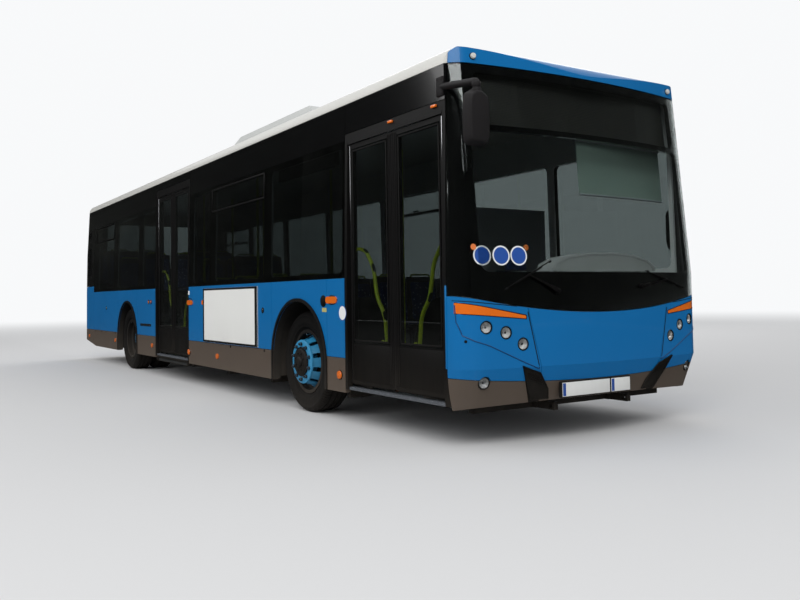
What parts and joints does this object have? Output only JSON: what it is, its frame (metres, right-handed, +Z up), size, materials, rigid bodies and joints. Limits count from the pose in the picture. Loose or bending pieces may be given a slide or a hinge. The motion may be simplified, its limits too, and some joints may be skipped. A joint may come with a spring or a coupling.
{
  "type": "city bus",
  "caption": "Low-floor city bus with gliding double doors, hollow saloon and cab, steered front wheels, twin rear wheels, lifting engine door and slide-out ramp.",
  "frame": {"origin": "on the ground under the middle of the bounding box, on the centre line", "axes": "+Z up, the front faces -Y, the doors are on the -X side, the driver sits on the +X side"},
  "size_m": [2.935, 12.18, 3.11],
  "materials": {
    "panel_white": "gloss",
    "lip_rubber": "matt",
    "frame_dark": "satin",
    "skirt_grey": "satin",
    "interior_grey": "matt",
    "gloss_black": "gloss",
    "frame_dark_painted_metal": "satin",
    "interior_dark": "matt",
    "display_black": "matt",
    "door_black": "satin",
    "interior_light": "satin",
    "engine_iron": "rough",
    "floor_grey": "matt",
    "grille_black": "matt",
    "body_blue": "gloss",
    "side_glass": "tinted",
    "rail_lime": "gloss",
    "lamp_clear": "clear",
    "lamp_amber": "gloss",
    "interior_light_matte_plastic": "satin",
    "mirror_black": "matt",
    "lamp_red": "gloss",
    "roof_white": "gloss",
    "unit_white": "satin",
    "seat_blue": "woven",
    "housing_dark": "matt",
    "windscreen_glass": "clear",
    "wiper_black": "matt",
    "ramp_metal": "satin",
    "wheel_blue": "satin",
    "tyre_rubber": "matt",
    "door_glass": "tinted"
  },
  "bodies": {
    "body": {"advert_board": "panel_white", "arch_lips": "lip_rubber", "axles": "frame_dark", "bumpers": "skirt_grey", "cab_partition": "interior_grey", "cantrails": "gloss_black", "chassis": "frame_dark_painted_metal", "dashboard": "interior_dark", "displays": "display_black", "door_frames": "door_black", "door_gear": "interior_light", "engine_block": "engine_iron", "floor": "floor_grey", "grilles": "grille_black", "front_panel": "body_blue", "glass": "side_glass", "handrails": "rail_lime", "headlamps": "lamp_clear", "indicators": "lamp_amber", "lining": "interior_light_matte_plastic", "mirrors": "mirror_black", "rear_lamps": "lamp_red", "rear_wall": "body_blue", "roof": "roof_white", "roof_cap": "body_blue", "roof_unit": "unit_white", "seats": "seat_blue", "side_panels": "body_blue", "skirts": "skirt_grey", "suspension": "frame_dark", "wheel_housings": "housing_dark", "window_frames": "gloss_black", "windscreen": "windscreen_glass", "wipers": "wiper_black"},
    "engine_lid": {"engine_door": "body_blue"},
    "cab_gate": {"cab_door": "interior_grey"},
    "ramp_plate": {"ramp": "ramp_metal"},
    "helm": {"steering_wheel": "interior_dark"},
    "steer_left": {"knuckle_left": "frame_dark"},
    "steer_right": {"knuckle_right": "frame_dark"},
    "wheel_front_left": {"rim_front_left": "wheel_blue", "tyre_front_left": "tyre_rubber"},
    "wheel_front_right": {"rim_front_right": "wheel_blue", "tyre_front_right": "tyre_rubber"},
    "wheels_rear_left": {"rims_rear_left": "wheel_blue", "tyres_rear_left": "tyre_rubber"},
    "wheels_rear_right": {"rims_rear_right": "wheel_blue", "tyres_rear_right": "tyre_rubber"},
    "door_post_front_front": {"post_front_front": "door_black"},
    "door_leaf_front_front": {"leaf_front_front": "door_black", "leaf_glass_front_front": "door_glass"},
    "door_post_front_rear": {"post_front_rear": "door_black"},
    "door_leaf_front_rear": {"leaf_front_rear": "door_black", "leaf_glass_front_rear": "door_glass"},
    "door_post_middle_front": {"post_middle_front": "door_black"},
    "door_leaf_middle_front": {"leaf_middle_front": "door_black", "leaf_glass_middle_front": "door_glass"},
    "door_post_middle_rear": {"post_middle_rear": "door_black"},
    "door_leaf_middle_rear": {"leaf_middle_rear": "door_black", "leaf_glass_middle_rear": "door_glass"}
  },
  "joints": [
    {"name": "open_front_front", "type": "hinge", "parent": "body", "child": "door_post_front_front", "pos_m": [-1.171, -5.51917, 1.4], "axis": [0, 0, -1], "range_deg": [0, 90]},
    {"name": "fold_front_front", "type": "hinge", "parent": "door_post_front_front", "child": "door_leaf_front_front", "pos_m": [-1.2215, -5.188, 1.4], "axis": [0, 0, -1], "range_deg": [-180, 0]},
    {"name": "open_front_rear", "type": "hinge", "parent": "body", "child": "door_post_front_rear", "pos_m": [-1.171, -4.09083, 1.4], "axis": [0, 0, 1], "range_deg": [0, 90]},
    {"name": "fold_front_rear", "type": "hinge", "parent": "door_post_front_rear", "child": "door_leaf_front_rear", "pos_m": [-1.2215, -4.422, 1.4], "axis": [0, 0, 1], "range_deg": [-180, 0]},
    {"name": "open_middle_front", "type": "hinge", "parent": "body", "child": "door_post_middle_front", "pos_m": [-1.171, 0.08083, 1.4], "axis": [0, 0, -1], "range_deg": [0, 90]},
    {"name": "fold_middle_front", "type": "hinge", "parent": "door_post_middle_front", "child": "door_leaf_middle_front", "pos_m": [-1.2215, 0.412, 1.4], "axis": [0, 0, -1], "range_deg": [-180, 0]},
    {"name": "open_middle_rear", "type": "hinge", "parent": "body", "child": "door_post_middle_rear", "pos_m": [-1.171, 1.50917, 1.4], "axis": [0, 0, 1], "range_deg": [0, 90]},
    {"name": "fold_middle_rear", "type": "hinge", "parent": "door_post_middle_rear", "child": "door_leaf_middle_rear", "pos_m": [-1.2215, 1.178, 1.4], "axis": [0, 0, 1], "range_deg": [-180, 0]},
    {"name": "steering_left", "type": "hinge", "parent": "body", "child": "steer_left", "pos_m": [0.905, -3.14, 0.479], "axis": [0, 0, 1], "range_deg": [-40, 40]},
    {"name": "spin_front_left", "type": "hinge", "parent": "steer_left", "child": "wheel_front_left", "pos_m": [1.06, -3.14, 0.479], "axis": [1, 0, 0], "continuous": true},
    {"name": "spin_rear_left", "type": "hinge", "parent": "body", "child": "wheels_rear_left", "pos_m": [0.93, 3.08, 0.479], "axis": [1, 0, 0], "continuous": true},
    {"name": "steering_right", "type": "hinge", "parent": "body", "child": "steer_right", "pos_m": [-0.905, -3.14, 0.479], "axis": [0, 0, 1], "range_deg": [-40, 40]},
    {"name": "spin_front_right", "type": "hinge", "parent": "steer_right", "child": "wheel_front_right", "pos_m": [-1.06, -3.14, 0.479], "axis": [1, 0, 0], "continuous": true},
    {"name": "spin_rear_right", "type": "hinge", "parent": "body", "child": "wheels_rear_right", "pos_m": [-0.93, 3.08, 0.479], "axis": [1, 0, 0], "continuous": true},
    {"name": "steering_wheel_turn", "type": "hinge", "parent": "body", "child": "helm", "pos_m": [0.62, -4.91, 1.13], "axis": [0, 0.3746, 0.9272], "range_deg": [-720, 720]},
    {"name": "engine_door_lift", "type": "hinge", "parent": "body", "child": "engine_lid", "pos_m": [0, 6.084, 1.643], "axis": [1, 0, 0], "range_deg": [0, 85]},
    {"name": "cab_door_swing", "type": "hinge", "parent": "body", "child": "cab_gate", "pos_m": [0.262, -3.9723, 0.8], "axis": [0, 0, -1], "range_deg": [0, 90]},
    {"name": "ramp_slide", "type": "slide", "parent": "body", "child": "ramp_plate", "axis": [-1, 0, 0], "range_m": [0, 0.6]}
  ],
  "couplings": [
    {"joint": "fold_front_front", "follows": "open_front_front", "ratio": -2},
    {"joint": "fold_front_rear", "follows": "open_front_rear", "ratio": -2},
    {"joint": "fold_middle_front", "follows": "open_middle_front", "ratio": -2},
    {"joint": "fold_middle_rear", "follows": "open_middle_rear", "ratio": -2},
    {"joint": "steering_right", "follows": "steering_left", "ratio": 1},
    {"joint": "steering_wheel_turn", "follows": "steering_left", "ratio": 18}
  ]
}
